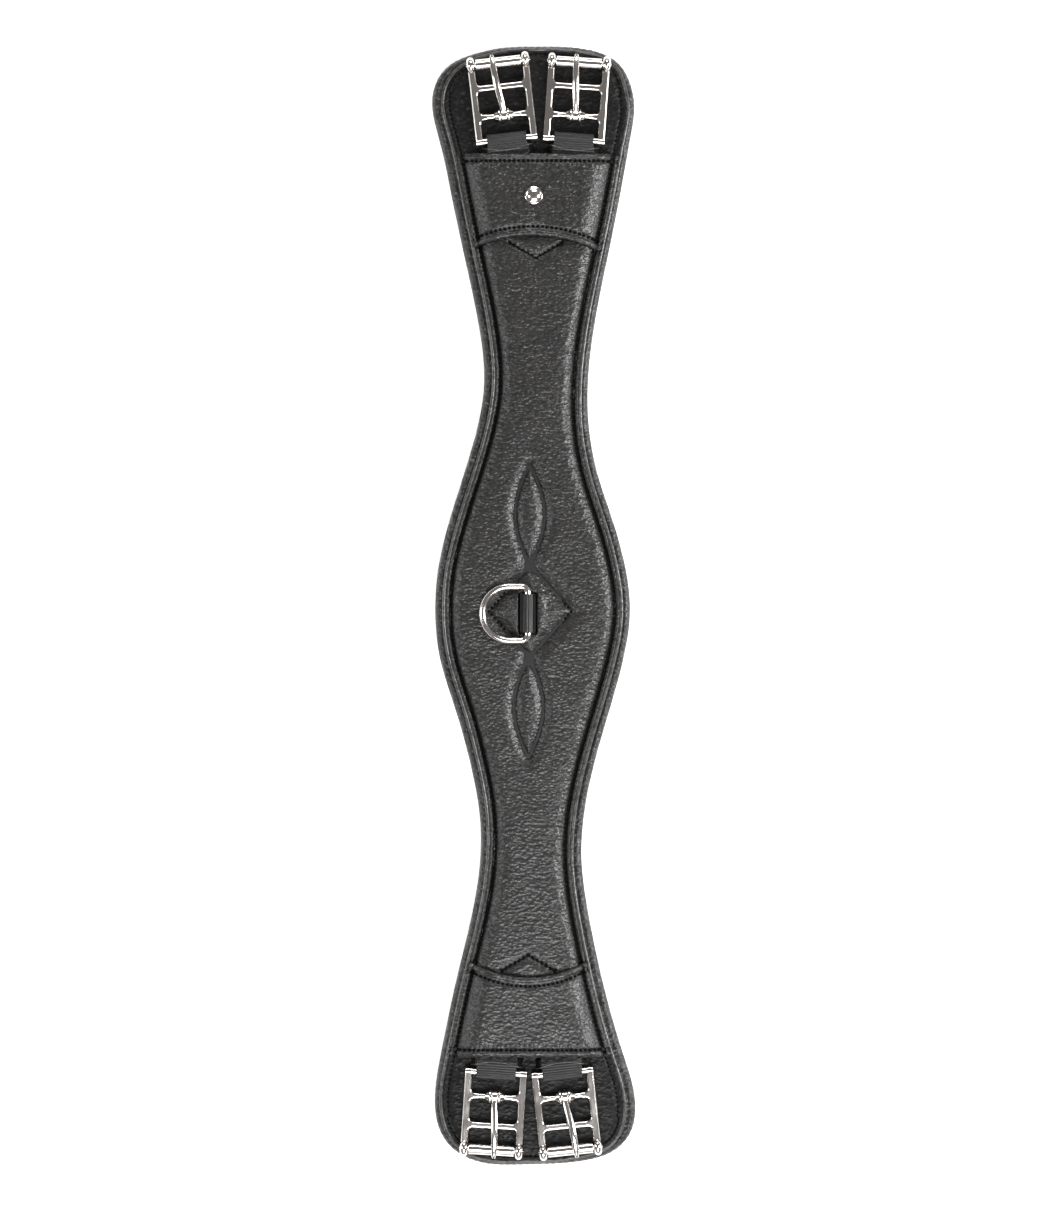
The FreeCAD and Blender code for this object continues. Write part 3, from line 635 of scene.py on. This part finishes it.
def across_cover(end, level):
    """A seam across a cover: beside its mouth, or beside its rolled inner edge."""
    left_x, right_x = FACE_SIDES
    sign = ENDS[end]
    share = np.linspace(0, 1, 200)
    y = np.full_like(share, MOUTH[end])
    for _ in range(5):
        x = (left_x(y) + SEAM_DEPTH) * (1 - share) + (right_x(y) - SEAM_DEPTH) * share
        if level == "mouth":
            y = np.full_like(share, MOUTH[end] - sign * MOUTH_SEAM)
        else:
            y = ARCS[end](x) + sign * ARC_SEAM
    return np.column_stack([x, y])


def guard_seam(end):
    """The runs of stitching round a guard. They come closer to the piping past the buckles."""
    near = inset(PIPED, GUARD_SEAM_DEPTH)
    line = np.where(np.abs(near[:, 1:]) > 0.31, near, SEAM)
    return zone_runs(line, lambda x, y: y * ENDS[end] > abs(MOUTH[end]))


FACE_SEAMS = zone_runs(SEAM, lambda x, y: (np.abs(y) < 0.235) & ~is_covered(x, y)) + LEAVES + DIAMOND
FACE_SEAMS += POINTS["upper"] + POINTS["lower"]
COVER_SEAMS = {
    end: zone_runs(SEAM, lambda x, y: (y * sign > 0) & is_covered(x, y))
    + [across_cover(end, "mouth"), across_cover(end, "arc")]
    for end, sign in ENDS.items()
}
GUARD_SEAMS = {end: guard_seam(end) for end in ENDS}


def from_stitch(x, y, seams):
    """Distance of each point to the nearest stitch of some seams."""
    spots = np.vstack([evenly(line, STITCH_PITCH, False) for line in seams])
    return distance_to_line(x, y, spots)


def face_height(x, y):
    """Height of the padded face: margin, seam, swell, and the sewn leaves, diamond and points."""
    depth, run = PIPED_EDGE.depth_and_run(x, y)
    left_x, right_x = FACE_SIDES
    middle = (left_x(y) + right_x(y)) / 2
    half = (right_x(y) - left_x(y)) / 2
    crown = 1 - np.clip(np.abs(x - middle) / half, 0, 1) ** 2
    high = MARGIN_TOP + (FACE_TOP - MARGIN_TOP) * swell(depth, SEAM_DEPTH + 0.3 * MM, SEAM_DEPTH + 8 * MM)
    high = high + crown * 1.0 * MM * ramp(depth, SEAM_DEPTH, SEAM_DEPTH + 12 * MM)
    high = high - dent(depth - SEAM_DEPTH, 1.1 * MM) * 1.3 * MM
    high = high - dent(depth - PIPING_SHADOW, 0.5 * MM) * 0.5 * MM
    pucker = np.cos(2 * math.pi * run / STITCH_PITCH + 2.0 * noise(run, depth, 6 * MM, 11))
    high = high + pucker * dent(depth - SEAM_DEPTH - 2.4 * MM, 2.0 * MM) * 0.34 * MM
    high = high + noise(run, depth, 3.4 * MM, 12) * dent(depth - SEAM_DEPTH - 4 * MM, 4 * MM) * 0.34 * MM
    high = high + noise(x, y, 14 * MM, 13) * 0.20 * MM * ramp(depth, SEAM_DEPTH, SEAM_DEPTH + 6 * MM)
    high = high + wrinkled(x, y, 14) * 0.06 * MM
    high = high - dent(from_stitch(x, y, FACE_SEAMS), 0.9 * MM) * 0.45 * MM
    away_leaf = distance_to_line(x, y, np.vstack(LEAVES))
    away_diamond = distance_to_line(x, y, np.vstack(DIAMOND))
    high = high - (dent(away_leaf, 0.9 * MM) * 1.0 + dent(away_leaf, 3.6 * MM) * 2.6) * MM
    high = high - (dent(away_diamond, 0.9 * MM) * 0.9 + dent(away_diamond, 4.6 * MM) * 2.6) * MM
    slit_low, slit_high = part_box("d_ring_keeper")
    slit_x = (slit_low[0] + slit_high[0]) / 2
    slit_y = (slit_low[1] + slit_high[1]) / 2
    beside = np.abs(x - slit_x)
    within = ramp(-np.abs(y - slit_y), -13.4 * MM, -11.2 * MM)
    high = high + dent(beside - 7.5 * MM, 3.2 * MM) * within * 1.3 * MM
    high = high - ramp(-beside, -5.6 * MM, -4.2 * MM) * within * 5.5 * MM
    for end in ENDS:
        along = distance_to_line(x, y, np.vstack(POINTS[end]))
        high = high - (dent(along, 0.8 * MM) * 0.5 + dent(along, 2.6 * MM) * 0.6) * MM
        under = np.abs(y - ARCS[end](x))
        high = high - dent(under, 4 * MM) * 0.6 * MM
    return high


def face_painted_shade(x, y):
    """Painted shade on the face, from 0 to 1: in its seam grooves, beside the piping, at the stitch holes,
    along the leaves, diamond and points, in the keeper's slit, and under the covers' rolled edges.
    """
    depth, _ = PIPED_EDGE.depth_and_run(x, y)
    away = distance_to_line(x, y, np.vstack(LEAVES + DIAMOND))
    dark = 0.5 * dent(depth - SEAM_DEPTH, 1.5 * MM) + 0.6 * dent(depth - PIPING_SHADOW, 0.5 * MM)
    dark = dark + 0.3 * dent(away, 1.2 * MM) + 0.9 * dent(from_stitch(x, y, FACE_SEAMS), 0.9 * MM)
    low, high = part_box("d_ring_keeper")
    beside = np.abs(x - (low[0] + high[0]) / 2)
    within = ramp(-np.abs(y - (low[1] + high[1]) / 2), -13.4 * MM, -11.2 * MM)
    dark = dark + ramp(-beside, -6.2 * MM, -5.0 * MM) * within
    for end in ENDS:
        along = distance_to_line(x, y, np.vstack(POINTS[end]))
        dark = dark + 0.7 * dent(along, 0.9 * MM) + 0.8 * dent(y - ARCS[end](x), 3.2 * MM)
    return dark


def make_face():
    near = [0.8 * MM + 0.62 * MM * k for k in range(24)]
    rings = Rings(PIPED, near, 50, SPINE_END)
    flat = rings.points()
    inside = np.abs(flat[:, 1]) < FACE_END + 2 * MM
    faces = [face for face in rings.faces() if all(inside[i] for i in face)]
    points = [tuple(p) for p in flat]
    points, faces = tidy_faces(points, faces)
    flat = np.array(points)
    high = face_height(flat[:, 0], flat[:, 1])
    dark = face_painted_shade(flat[:, 0], flat[:, 1])
    points = np.column_stack([flat, high])
    face = new_piece("face_panel", points, faces, FACE_LEATHER, ROOT, dark, SHADED_SEAM_LEATHER)
    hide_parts("face_leather", "face_foam", "centre_diamond_inlay", "upper_leaf_inlay",
                "lower_leaf_inlay", "upper_point_inlay", "lower_point_inlay")


# ---------------------------------------------------------------- guards under the buckles
def guard_height(x, y):
    depth, run = PIPED_EDGE.depth_and_run(x, y)
    high = MARGIN_TOP + 0.2 * MM + 0.5 * MM * swell(depth, SEAM_DEPTH, SEAM_DEPTH + 8 * MM)
    high = high - dent(depth - SEAM_DEPTH, 1.4 * MM) * 0.5 * MM
    high = high - dent(depth - PIPING_SHADOW, 0.5 * MM) * 0.5 * MM
    pucker = np.cos(2 * math.pi * run / STITCH_PITCH + 2.0 * noise(run, depth, 6 * MM, 21))
    high = high + pucker * dent(depth - SEAM_DEPTH - 2.0 * MM, 1.8 * MM) * 0.16 * MM
    high = high + noise(run, depth, 3.0 * MM, 22) * dent(depth - SEAM_DEPTH - 4 * MM, 4 * MM) * 0.25 * MM
    waves = noise(x, y, 11 * MM, 23) * 0.15 * MM
    slanted_creases = noise(x + y, (y - x) * 0.4, 2.6 * MM, 24) * 0.07 * MM
    return high + waves + slanted_creases


# Painted shade on a guard: beside the piping and at the stitch holes
def guard_painted_shade(x, y):
    depth, _ = PIPED_EDGE.depth_and_run(x, y)
    seams = GUARD_SEAMS["upper"] + GUARD_SEAMS["lower"]
    return 0.6 * dent(depth - PIPING_SHADOW, 0.5 * MM) + 0.9 * dent(from_stitch(x, y, seams), 0.9 * MM)


def make_guard(end):
    near = [0.8 * MM + 0.62 * MM * k for k in range(20)]
    rings = Rings(PIPED, near, 26, SPINE_END)
    flat = rings.points()
    wanted = flat[:, 1] * ENDS[end] > FACE_END - 2 * MM
    faces = [face for face in rings.faces() if all(wanted[i] for i in face)]
    points, faces = tidy_faces([tuple(p) for p in flat], faces)
    flat = np.array(points)
    high = guard_height(flat[:, 0], flat[:, 1])
    dark = guard_painted_shade(flat[:, 0], flat[:, 1])
    points = np.column_stack([flat, high])
    guard = new_piece(f"{end}_guard", points, faces, GUARD_LEATHER, ROOT, dark, SHADED_SEAM_LEATHER)
    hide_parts(f"{end}_buckle_guard")


# ---------------------------------------------------------------- covers
def cover_height(x, y, end):
    """Height of an end cover: low at its sewn sides and higher over the elastics."""
    depth, run = PIPED_EDGE.depth_and_run(x, y)
    from_arc = np.abs(y - ARCS[end](x))
    from_mouth = np.abs(MOUTH[end] - y)
    low = MARGIN_TOP + 1.2 * MM
    high = low + (COVER_TOP - low) * swell(depth, SEAM_DEPTH + 0.2 * MM, SEAM_DEPTH + 15 * MM)
    high = high - dent(depth - SEAM_DEPTH, 1.1 * MM) * 1.2 * MM
    high = high - dent(depth - PIPING_SHADOW, 0.5 * MM) * 0.5 * MM
    high = high - dent(from_mouth - MOUTH_SEAM, 1.0 * MM) * 1.1 * MM
    high = high - dent(from_mouth, 1.4 * MM) * 1.4 * MM
    high = high - dent(from_arc - ARC_SEAM, 0.9 * MM) * 0.8 * MM
    pucker = np.cos(2 * math.pi * x / STITCH_PITCH + 2.0 * noise(x, y, 6 * MM, 31))
    high = high + pucker * dent(from_mouth - 6.8 * MM, 1.8 * MM) * 0.15 * MM
    side_pucker = np.cos(2 * math.pi * run / STITCH_PITCH + 2.0 * noise(run, depth, 6 * MM, 32))
    high = high + side_pucker * dent(depth - SEAM_DEPTH - 2.4 * MM, 1.8 * MM) * 0.2 * MM
    high = high - dent(from_stitch(x, y, COVER_SEAMS[end]), 0.9 * MM) * 0.4 * MM
    return high + noise(x, y, 12 * MM, 33) * 0.22 * MM + wrinkled(x, y, 34) * 0.035 * MM


# Painted shade on a cover: in its seam grooves, beside the piping, along its mouth and arc seams, and at
# the stitch holes
def cover_painted_shade(x, y, end):
    depth, _ = PIPED_EDGE.depth_and_run(x, y)
    from_mouth = np.abs(MOUTH[end] - y)
    from_arc = np.abs(y - ARCS[end](x))
    dark = 0.5 * dent(depth - SEAM_DEPTH, 1.3 * MM) + 0.6 * dent(depth - PIPING_SHADOW, 0.5 * MM)
    dark = dark + 0.4 * dent(from_mouth - MOUTH_SEAM, 1.2 * MM) + 0.4 * dent(from_arc - ARC_SEAM, 1.1 * MM)
    return dark + 0.9 * dent(from_stitch(x, y, COVER_SEAMS[end]), 0.9 * MM)


def make_cover(end):
    left_x, right_x = FACE_SIDES
    u, v = np.meshgrid(np.linspace(0, 1, 170), np.linspace(0, 1, 96))
    x = np.zeros_like(u)
    for _ in range(5):
        y = ARCS[end](x) * (1 - v) + MOUTH[end] * v
        x = (left_x(y) + 1.3 * MM) * (1 - u) + (right_x(y) - 1.3 * MM) * u
    high = cover_height(x, y, end)
    rows, columns = u.shape
    flat = np.column_stack([x.ravel(), y.ravel(), high.ravel()])
    faces = []
    for r in range(rows - 1):
        for c in range(columns - 1):
            a = r * columns + c
            quad = (a, a + 1, a + columns + 1, a + columns)
            faces.append(quad if ENDS[end] > 0 else quad[::-1])
    dark = cover_painted_shade(x, y, end).ravel()
    cover = new_piece(f"{end}_cover_panel", flat, faces, FACE_LEATHER, ROOT, dark, SHADED_SEAM_LEATHER)
    thick = cover.modifiers.new("thickness", "SOLIDIFY")
    thick.thickness = 1.3 * MM
    thick.offset = -1.0
    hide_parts(f"{end}_cover")


def make_bead(end):
    left_x, right_x = FACE_SIDES
    share = np.linspace(0, 1, 220)
    y = np.full_like(share, MOUTH[end])
    for _ in range(5):
        x = (left_x(y) + 2.4 * MM) * (1 - share) + (right_x(y) - 2.4 * MM) * share
        y = ARCS[end](x)
    high = cover_height(x, y + ENDS[end] * 1.0 * MM, end) - 1.2 * MM
    radius = 1.9 * MM + noise(x, y, 3 * MM, 41) * 0.1 * MM
    bead = new_piece(f"{end}_rolled_edge", *tube(np.column_stack([x, y, high]), radius, 16), FACE_LEATHER)
    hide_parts(f"{end}_cover_bead")


# ---------------------------------------------------------------- stitching
THREAD_RADIUS = 0.45 * MM
THREAD_HALF = 0.31  # half a stitch's length, as a share of the pitch
THREAD_RISE = 0.22 * MM
THREAD_SAG = 0.5 * MM


def stitches(line, height, pitch=STITCH_PITCH, slant=0.14):
    """Short sunk threads along a line of (x, y), on a surface given by height(x, y)."""
    spots = evenly(line, pitch, False)
    along = np.gradient(spots, axis=0)
    along /= np.linalg.norm(along, axis=1)[:, None]
    across = np.column_stack([-along[:, 1], along[:, 0]])
    high = height(spots[:, 0], spots[:, 1])
    shapes = []
    for spot, run, side, z in zip(spots, along, across, high):
        path = []
        for step in np.linspace(-1, 1, 7):
            reach = (run + side * slant) * step * pitch * THREAD_HALF
            path.append((*(spot + reach), z + THREAD_RISE - THREAD_SAG * step * step))
        shapes.append(tube(path, THREAD_RADIUS, 8))
    return joined(shapes)


def make_stitching():
    shapes = [stitches(line, face_height) for line in FACE_SEAMS]
    face = new_piece("face_stitching", *joined(shapes), THREAD)
    for end in ENDS:
        shapes = [stitches(line, lambda x, y: cover_height(x, y, end)) for line in COVER_SEAMS[end]]
        cover = new_piece(f"{end}_cover_stitching", *joined(shapes), THREAD)
        shapes = [stitches(line, guard_height) for line in GUARD_SEAMS[end]]
        guard = new_piece(f"{end}_guard_stitching", *joined(shapes), THREAD)


# ---------------------------------------------------------------- elastic and keeper
RIB_STEP = 0.25 * MM  # spacing of the points that make the ribs
STRAP_WIDTH = 24 * MM
STRAP_LENGTH = 34 * MM
STRAP_LOOP = 3.9 * MM  # outer radius of the turn round the base bar
STRAP_PLY = 1.75 * MM
STRAP_NECK = 9 * MM  # where the two plies meet, from the bar
MOUTH_HALF = 15.5 * MM
MOUTH_RISE = 2.2 * MM  # the mouth's leather over the base bar's axis
LIP_RADIUS = 0.42 * MM


def joint(name):
    return next(j for j in frame["joints"] if j["name"] == name)


def ribbed_loop(profile, width, place, pitch=1.5 * MM):
    """A strip bent to a closed profile of (y, z), with ribs along its width, put in place by a matrix."""
    ring = evenly(profile, RIB_STEP, True)
    along = np.roll(ring, -1, axis=0) - np.roll(ring, 1, axis=0)
    along /= np.linalg.norm(along, axis=1)[:, None]
    outward = np.column_stack([along[:, 1], -along[:, 0]])
    area = np.sum(ring[:, 0] * np.roll(ring[:, 1], -1) - np.roll(ring[:, 0], -1) * ring[:, 1])
    if area < 0:
        outward = -outward
    run = np.arange(len(ring)) * RIB_STEP
    ribs = np.abs(np.sin(math.pi * run / pitch)) ** 0.7
    shapes = [(-1.0, 0.55), (-0.985, 0.85), (-0.95, 1.0), (0.95, 1.0), (0.985, 0.85), (1.0, 0.55)]
    points = []
    # Painted shade: the colour is darkened in the grooves between the ribs
    painted_shade = np.tile(1 - ribs, len(shapes))
    for share, fullness in shapes:
        grown = ring + outward * ((ribs * 0.55 - 0.4) * fullness - (1 - fullness) * 0.6)[:, None] * MM
        for y, z in grown:
            points.append(place @ Vector((share * width / 2, y, z)))
    count = len(ring)
    faces = []
    for k in range(len(shapes) - 1):
        for i in range(count):
            j = (i + 1) % count
            faces.append((k * count + i, k * count + j, (k + 1) * count + j, (k + 1) * count + i))
    faces.append(tuple(range(count))[::-1])
    faces.append(tuple(range((len(shapes) - 1) * count, len(shapes) * count)))
    return points, faces, painted_shade


def make_elastic(name):
    swing = joint(f"{name}_buckle_swing")
    stretch = joint(f"{name}_strap_stretch")
    across, along = Vector(swing["axis"]), Vector(stretch["axis"])
    axes = Matrix((across, along, across.cross(along))).transposed().to_4x4()
    place = Matrix.Translation(swing["pos_m"]) @ axes
    turn = np.radians(np.linspace(-115, 115, 60))
    bow = np.column_stack([STRAP_LOOP * np.cos(turn), STRAP_LOOP * np.sin(turn)])
    under = [(-STRAP_LENGTH, -STRAP_PLY), (-STRAP_NECK, -STRAP_PLY)]
    over = [(-STRAP_NECK, STRAP_PLY), (-STRAP_LENGTH, STRAP_PLY)]
    profile = np.vstack([under, bow, over])
    points, faces, dark = ribbed_loop(profile, STRAP_WIDTH, place)
    elastic = new_piece(f"{name}_elastic_strap", points, faces, ELASTIC, f"{name}_strap", painted_shade=dark)
    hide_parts(f"{name}_elastic")


def make_mouth(name):
    """The guard's leather over a strap, down to a curved lip beside the strap's loop."""
    swing = joint(f"{name}_buckle_swing")
    across, along = Vector(swing["axis"]), Vector(joint(f"{name}_strap_stretch")["axis"])
    base = Vector(swing["pos_m"])
    half, strap_top = MOUTH_HALF, base.z + MOUTH_RISE
    columns, rows = 60, 14
    points = []
    for row in np.linspace(0, 1, rows):
        for column in np.linspace(-1, 1, columns):
            side = column * half
            lip = -6.5 * MM + 2.9 * MM * column ** 2
            reach = (-9.5 * MM) * (1 - row) + lip * row
            spot = base + across * side + along * reach
            low = float(guard_height(spot.x, spot.y)) + 0.3 * MM
            lift = ramp(-abs(side), -half, -12.2 * MM)
            rolled = 0.35 * MM * math.exp(-(((1 - row) / 0.12) ** 2))
            points.append((spot.x, spot.y, low + (strap_top - low) * float(lift) + rolled))
    faces = []
    for row in range(rows - 1):
        for column in range(columns - 1):
            a = row * columns + column
            faces.append((a, a + 1, a + columns + 1, a + columns))
    if (across.cross(along)).z < 0:
        faces = [face[::-1] for face in faces]
    mouth = new_piece(f"{name}_strap_mouth", points, faces, GUARD_LEATHER)
    thick = mouth.modifiers.new("thickness", "SOLIDIFY")
    thick.thickness = 0.5 * MM
    lip_line = np.array(points[-columns:])
    # The lip takes the lighter piping leather, a painted highlight along its arc
    lip = new_piece(f"{name}_mouth_lip", *tube(lip_line, LIP_RADIUS, 8), PIPING_HIGHLIGHT_LEATHER)


def make_keeper():
    low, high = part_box("d_ring_keeper")
    swing = Vector(joint("d_ring_swing")["pos_m"])
    place = Matrix.Translation(swing) @ Matrix(((0, -1, 0), (1, 0, 0), (0, 0, 1))).to_4x4()
    outer = (high[0] - low[0]) / 2
    turn = np.radians(np.linspace(0, 180, 50))
    bow = np.column_stack([outer * np.cos(turn), outer * np.sin(turn)])
    foot = low[2] - swing.z
    profile = np.vstack([bow, [(-outer, foot), (outer, foot)]])
    width = high[1] - low[1]
    points, faces, dark = ribbed_loop(profile, width, place, 1.6 * MM)
    keeper = new_piece("ring_keeper", points, faces, ELASTIC, painted_shade=dark)
    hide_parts("d_ring_keeper")


# ---------------------------------------------------------------- metal
def make_badge():
    """A plain stud: a dome inside a rim."""
    low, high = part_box("badge_stud")
    centre = (Vector(low) + Vector(high)) / 2
    radius = (high[0] - low[0]) / 2
    profile = [(1.0, 0.0), (1.0, 0.7), (0.96, 1.0), (0.86, 1.15), (0.78, 1.0), (0.74, 0.7), (0.66, 0.75),
               (0.5, 1.3), (0.3, 1.6), (0.0, 1.75)]
    around = 48
    points = []
    for share, height in profile[:-1]:
        for k in range(around):
            turn = 2 * math.pi * k / around
            out = Vector((math.cos(turn), math.sin(turn), 0)) * radius * share
            points.append((centre.x + out.x, centre.y + out.y, low[2] + height * MM))
    points.append((centre.x, centre.y, low[2] + profile[-1][1] * MM))
    faces = []
    for r in range(len(profile) - 2):
        for k in range(around):
            n = (k + 1) % around
            faces.append((r * around + k, r * around + n, (r + 1) * around + n, (r + 1) * around + k))
    last = (len(profile) - 2) * around
    for k in range(around):
        faces.append((last + k, last + (k + 1) % around, len(points) - 1))
    faces.append(tuple(range(around))[::-1])
    badge = new_piece("stud", points, faces, STEEL)
    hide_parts("badge_stud")


def finish_metal():
    """Better materials on the CAD pieces that stay."""
    for name, node in frame["nodes"].items():
        if name in ("core_webbing",):
            material = ELASTIC
        elif name in ("lining_foam",):
            material = FOAM
        else:
            material = STEEL
        for slot in node.material_slots:
            slot.material = material


# ---------------------------------------------------------------- light, floor and camera
def make_floor():
    material = Nodes("floor_white")
    material.set(Roughness=0.9, Base_Color=(0.9, 0.9, 0.9, 1))
    material.set(Emission_Color=(1, 1, 1, 1), Emission_Strength=0.45)
    mesh = bpy.data.meshes.new("floor")
    size = 6.0
    corners = [(-size, -size, 0), (size, -size, 0), (size, size, 0), (-size, size, 0)]
    mesh.from_pydata(corners, [], [(0, 1, 2, 3)])
    mesh.materials.append(material.material)
    floor = bpy.data.objects.new("floor", mesh)
    floor.location.z = -0.2 * MM
    bpy.context.scene.collection.objects.link(floor)


def area_light(name, place, aim, size, power, colour=(1, 1, 1)):
    light = bpy.data.lights.new(name, "AREA")
    light.shape = "RECTANGLE"
    light.size, light.size_y = size
    light.energy = power
    light.color = colour
    lamp = bpy.data.objects.new(name, light)
    lamp.location = place
    lamp.rotation_euler = (Vector(aim) - Vector(place)).to_track_quat("-Z", "Y").to_euler()
    bpy.context.scene.collection.objects.link(lamp)


def make_light():
    area_light("near_overhead", (0.12, -1.25, 1.9), (0, 0.05, 0), (1.3, 0.9), 42)
    area_light("key_right", (1.5, 0.1, 1.0), (0, 0, 0), (0.5, 1.3), 40)
    area_light("fill_left", (-1.5, 0.0, 0.9), (0, 0, 0), (0.5, 1.3), 12)
    area_light("far_end", (0.1, 1.6, 1.0), (0, 0.2, 0), (1.0, 0.5), 14)
    area_light("near_end", (0.1, -1.6, 0.8), (0, -0.1, 0), (1.0, 0.5), 3)
    world = bpy.data.worlds.new("studio")
    world.use_nodes = True
    world.node_tree.nodes["Background"].inputs["Color"].default_value = (0.52, 0.50, 0.48, 1)
    world.node_tree.nodes["Background"].inputs["Strength"].default_value = 0.34
    bpy.context.scene.world = world


def make_camera():
    """Straight down on the outer face, with the girth's length filling most of the picture's height."""
    length = CAD_BOX[1][1] - CAD_BOX[0][1]
    distance = 3.0
    camera = bpy.data.cameras.new("camera")
    camera.sensor_fit = "VERTICAL"
    camera.sensor_height = 36.0
    camera.lens = camera.sensor_height * distance / (length * 1.08)
    camera.clip_end = 20.0
    lens = bpy.data.objects.new("camera", camera)
    lens.location = (-2.3 * MM, 0, distance + FACE_TOP)
    bpy.context.scene.collection.objects.link(lens)
    bpy.context.scene.camera = lens
    bpy.context.scene.view_settings.view_transform = "Standard"


finish_metal()
make_lining()
make_piping()
make_face()
for end_name in ENDS:
    make_guard(end_name)
    make_cover(end_name)
    make_bead(end_name)
make_stitching()
for buckle in BUCKLES:
    make_elastic(buckle)
    make_mouth(buckle)
make_keeper()
make_badge()
make_floor()
make_light()
make_camera()
